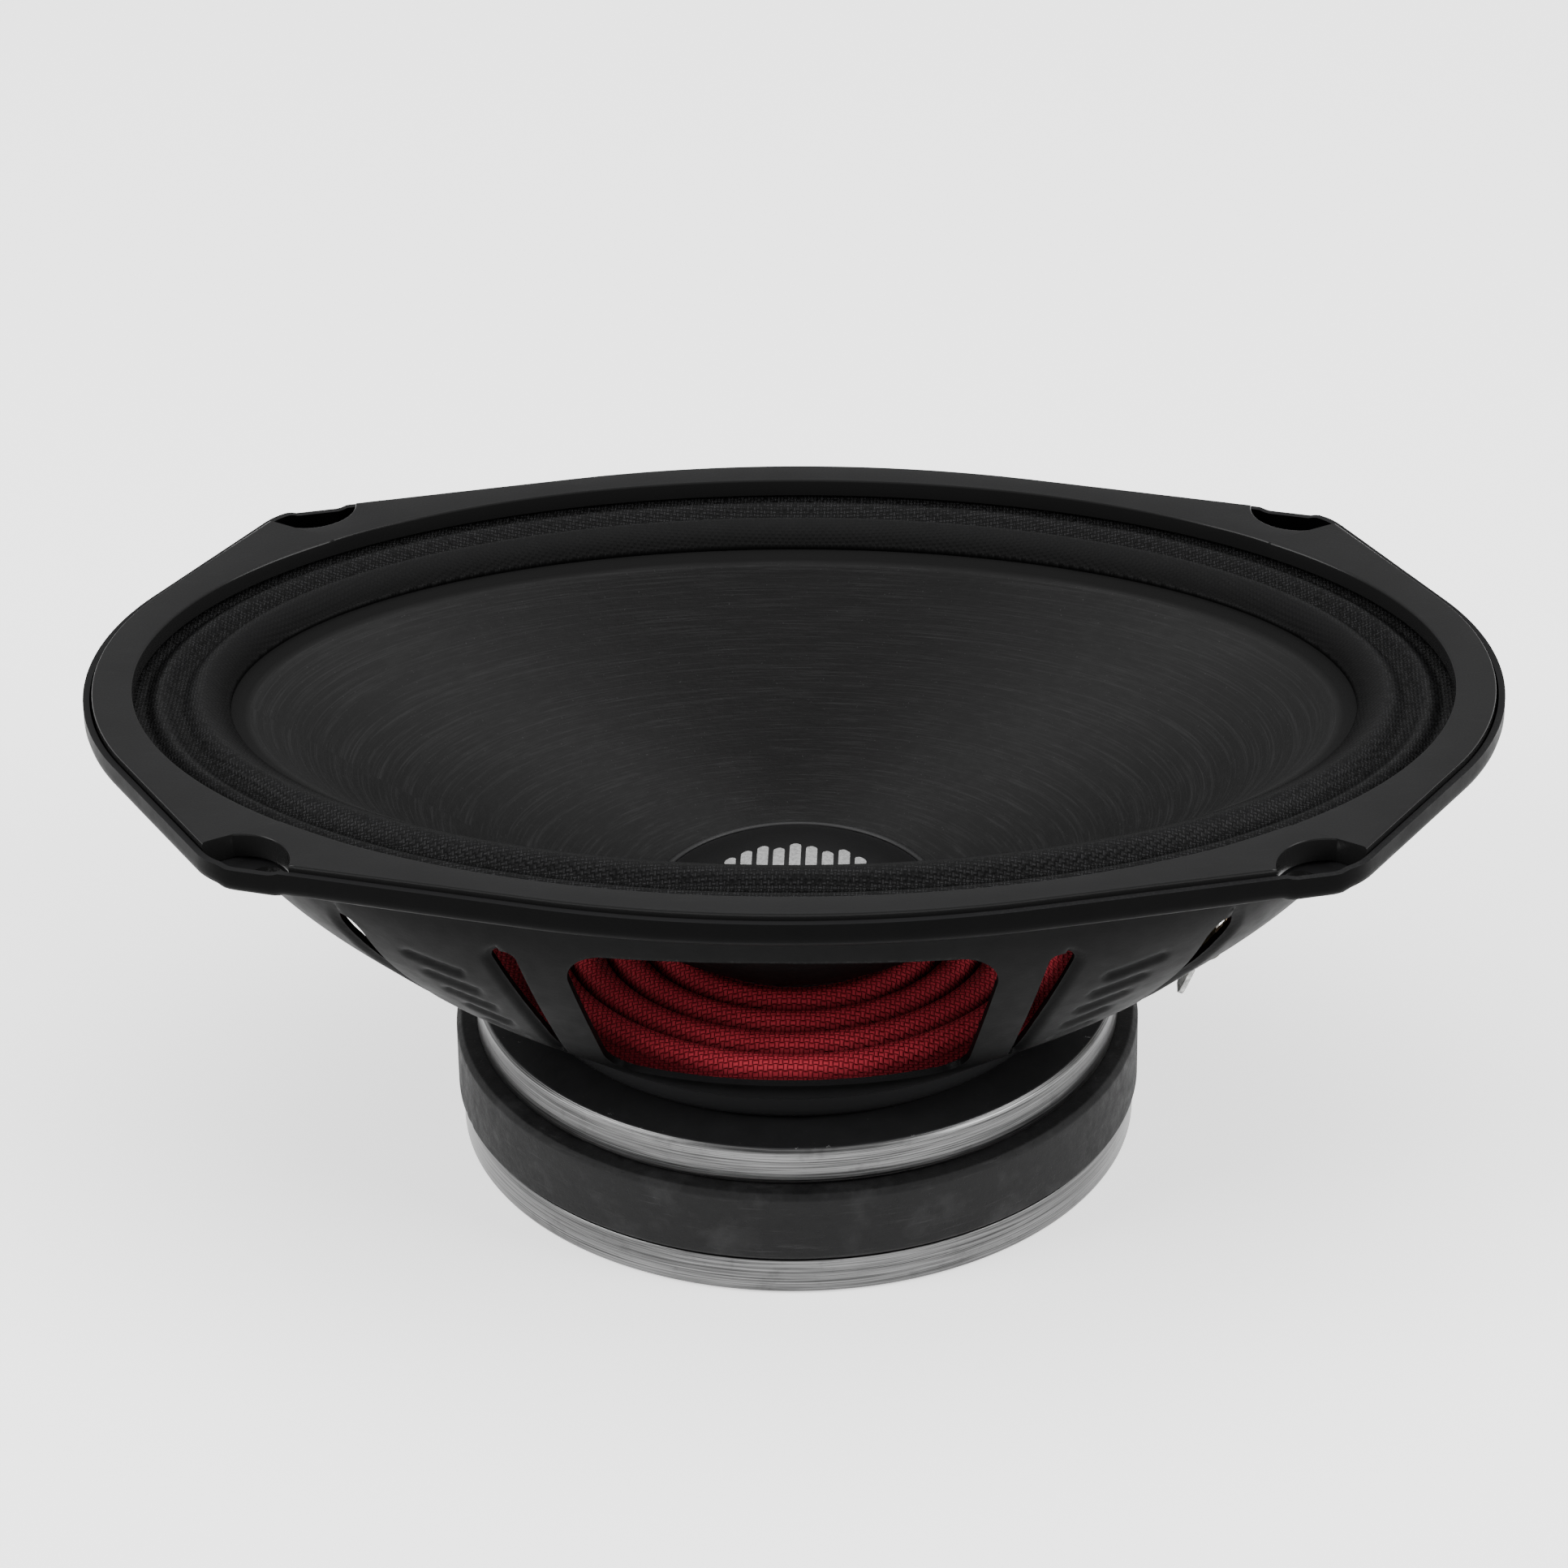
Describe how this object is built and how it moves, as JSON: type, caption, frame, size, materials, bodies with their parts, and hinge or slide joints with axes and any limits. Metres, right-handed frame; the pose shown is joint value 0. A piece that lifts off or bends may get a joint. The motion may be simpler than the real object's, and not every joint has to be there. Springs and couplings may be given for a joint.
{
  "type": "oval loudspeaker",
  "caption": "Oval car loudspeaker driver with pressed basket, paper cone that travels in and out, cloth surround and spider, ferrite magnet and spade terminals.",
  "frame": {"origin": "bottom centre of the back plate, on the axis of the voice coil", "axes": "+Z the way the cone faces, +X along the long axis to the terminal end, Y across the short axis"},
  "size_m": [0.235, 0.1516, 0.084],
  "materials": {
    "basket_paint": "satin black powder coat",
    "gasket_plastic": "matt moulded",
    "surround_cloth": "coated woven cloth",
    "cone_paper": "pressed black paper",
    "cap_paper": "coated paper dome, satin",
    "spider_cloth": "resin-stiffened open weave",
    "bare_steel": "turned, zinc plated",
    "ferrite": "ground ceramic ferrite",
    "former_sheet": "amber film tube",
    "copper_wire": "enamelled copper",
    "board_laminate": "phenolic board",
    "tinned_metal": "tin plated",
    "rivet_brass": "satin",
    "lead_braid": "braided tinsel"
  },
  "bodies": {
    "frame": {"back_plate_pole": "bare_steel", "ferrite_magnet": "ferrite", "top_plate": "bare_steel", "basket": "basket_paint", "basket_rivet_1": "tinned_metal", "basket_rivet_2": "tinned_metal", "basket_rivet_3": "tinned_metal", "basket_rivet_4": "tinned_metal", "gasket_ring": "gasket_plastic", "surround": "surround_cloth", "spider": "spider_cloth", "terminal_board": "board_laminate", "terminal_tab_positive": "tinned_metal", "terminal_tab_negative": "tinned_metal", "terminal_rivet_positive": "rivet_brass", "terminal_rivet_negative": "rivet_brass", "tinsel_lead_positive": "lead_braid", "tinsel_lead_negative": "lead_braid"},
    "diaphragm": {"cone": "cone_paper", "dust_cap": "cap_paper", "voice_coil_former": "former_sheet", "voice_coil_winding": "copper_wire", "lead_eyelet_positive": "rivet_brass", "lead_eyelet_negative": "rivet_brass"}
  },
  "joints": [
    {"name": "cone_travel", "type": "slide", "parent": "frame", "child": "diaphragm", "axis": [0, 0, 1], "range_m": [-0.005, 0.005], "stiffness_N_per_m": 2500, "deforming": ["surround", "spider", "tinsel_lead_positive", "tinsel_lead_negative"]}
  ]
}
